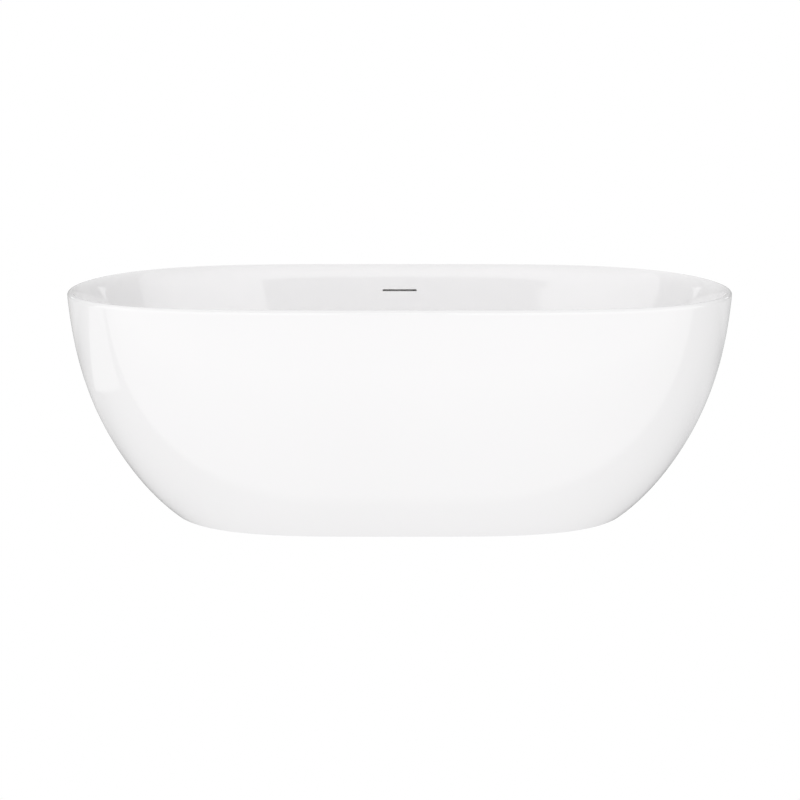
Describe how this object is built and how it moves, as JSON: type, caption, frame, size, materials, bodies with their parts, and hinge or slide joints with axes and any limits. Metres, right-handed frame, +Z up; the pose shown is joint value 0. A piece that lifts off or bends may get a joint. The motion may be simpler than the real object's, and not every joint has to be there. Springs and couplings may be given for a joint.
{
  "type": "freestanding bathtub",
  "caption": "Oval double-skinned freestanding bathtub with a thin rim, a slot overflow, a push-to-close waste, a steel frame and screw feet.",
  "frame": {"origin": "centre of the footprint, on the floor", "axes": "+X along the length, +Y towards the wall with the overflow slot, +Z up"},
  "size_m": [1.7, 0.8, 0.58],
  "materials": {
    "acrylic": "white cast acrylic, polished to a mirror gloss",
    "chrome": "polished chrome plate",
    "zinc_steel": "bright zinc plate with fine turning marks",
    "painted_frame": "black powder coat with a fine orange peel",
    "black_rubber": "matt moulded rubber",
    "white_plastic": "fine-grained moulded plastic",
    "grey_plastic": "satin moulded plastic",
    "plywood": "birch plywood sealed with resin"
  },
  "bodies": {
    "tub": {"inner_basin": "acrylic", "outer_skirt": "acrylic", "waste_flange": "chrome", "strainer_cross": "chrome", "tailpiece": "chrome", "slip_nut": "chrome", "weld_nut_front_left": "zinc_steel", "weld_nut_front_right": "zinc_steel", "weld_nut_rear_left": "zinc_steel", "weld_nut_rear_right": "zinc_steel", "lock_nut_front_left": "zinc_steel", "lock_nut_front_right": "zinc_steel", "lock_nut_rear_left": "zinc_steel", "lock_nut_rear_right": "zinc_steel", "frame_bolt_front_left": "zinc_steel", "frame_bolt_front_right": "zinc_steel", "frame_bolt_rear_left": "zinc_steel", "frame_bolt_rear_right": "zinc_steel", "front_left_strap": "zinc_steel", "front_right_strap": "zinc_steel", "rear_left_strap": "zinc_steel", "rear_right_strap": "zinc_steel", "left_end_strap": "zinc_steel", "right_end_strap": "zinc_steel", "hose_clip_upper": "zinc_steel", "hose_clip_lower": "zinc_steel", "return_spring": "zinc_steel", "front_rail": "painted_frame", "rear_rail": "painted_frame", "left_end_bar": "painted_frame", "right_end_bar": "painted_frame", "left_foot_bar": "painted_frame", "right_foot_bar": "painted_frame", "flange_seal": "black_rubber", "shoe_gasket": "black_rubber", "overflow_gasket": "black_rubber", "overflow_box": "white_plastic", "click_cartridge": "white_plastic", "drain_shoe": "grey_plastic", "overflow_hose": "grey_plastic", "base_board": "plywood"},
    "stopper": {"stopper_cap": "chrome", "stopper_seal": "black_rubber", "stopper_stem": "grey_plastic"},
    "pad_front_left": {"foot_pad_front_left": "black_rubber"},
    "stud_front_left": {"foot_stud_front_left": "zinc_steel"},
    "pad_front_right": {"foot_pad_front_right": "black_rubber"},
    "stud_front_right": {"foot_stud_front_right": "zinc_steel"},
    "pad_rear_left": {"foot_pad_rear_left": "black_rubber"},
    "stud_rear_left": {"foot_stud_rear_left": "zinc_steel"},
    "pad_rear_right": {"foot_pad_rear_right": "black_rubber"},
    "stud_rear_right": {"foot_stud_rear_right": "zinc_steel"}
  },
  "joints": [
    {"name": "stopper_lift", "type": "slide", "parent": "tub", "child": "stopper", "axis": [0, 0, 1], "range_m": [0, 0.009], "deforming": ["return_spring"]},
    {"name": "foot_height_front_left", "type": "slide", "parent": "tub", "child": "pad_front_left", "axis": [0, 0, -1], "range_m": [0, 0.014]},
    {"name": "foot_turn_front_left", "type": "hinge", "parent": "pad_front_left", "child": "stud_front_left", "pos_m": [-0.42, -0.21, 0.055], "axis": [0, 0, -1], "range_deg": [0, 2880]},
    {"name": "foot_height_front_right", "type": "slide", "parent": "tub", "child": "pad_front_right", "axis": [0, 0, -1], "range_m": [0, 0.014]},
    {"name": "foot_turn_front_right", "type": "hinge", "parent": "pad_front_right", "child": "stud_front_right", "pos_m": [0.42, -0.21, 0.055], "axis": [0, 0, -1], "range_deg": [0, 2880]},
    {"name": "foot_height_rear_left", "type": "slide", "parent": "tub", "child": "pad_rear_left", "axis": [0, 0, -1], "range_m": [0, 0.014]},
    {"name": "foot_turn_rear_left", "type": "hinge", "parent": "pad_rear_left", "child": "stud_rear_left", "pos_m": [-0.42, 0.21, 0.055], "axis": [0, 0, -1], "range_deg": [0, 2880]},
    {"name": "foot_height_rear_right", "type": "slide", "parent": "tub", "child": "pad_rear_right", "axis": [0, 0, -1], "range_m": [0, 0.014]},
    {"name": "foot_turn_rear_right", "type": "hinge", "parent": "pad_rear_right", "child": "stud_rear_right", "pos_m": [0.42, 0.21, 0.055], "axis": [0, 0, -1], "range_deg": [0, 2880]}
  ],
  "couplings": [
    {"joint": "foot_turn_front_left", "follows": "foot_height_front_left", "rad_per_m": 3590.4},
    {"joint": "foot_turn_front_right", "follows": "foot_height_front_right", "rad_per_m": 3590.4},
    {"joint": "foot_turn_rear_left", "follows": "foot_height_rear_left", "rad_per_m": 3590.4},
    {"joint": "foot_turn_rear_right", "follows": "foot_height_rear_right", "rad_per_m": 3590.4}
  ]
}
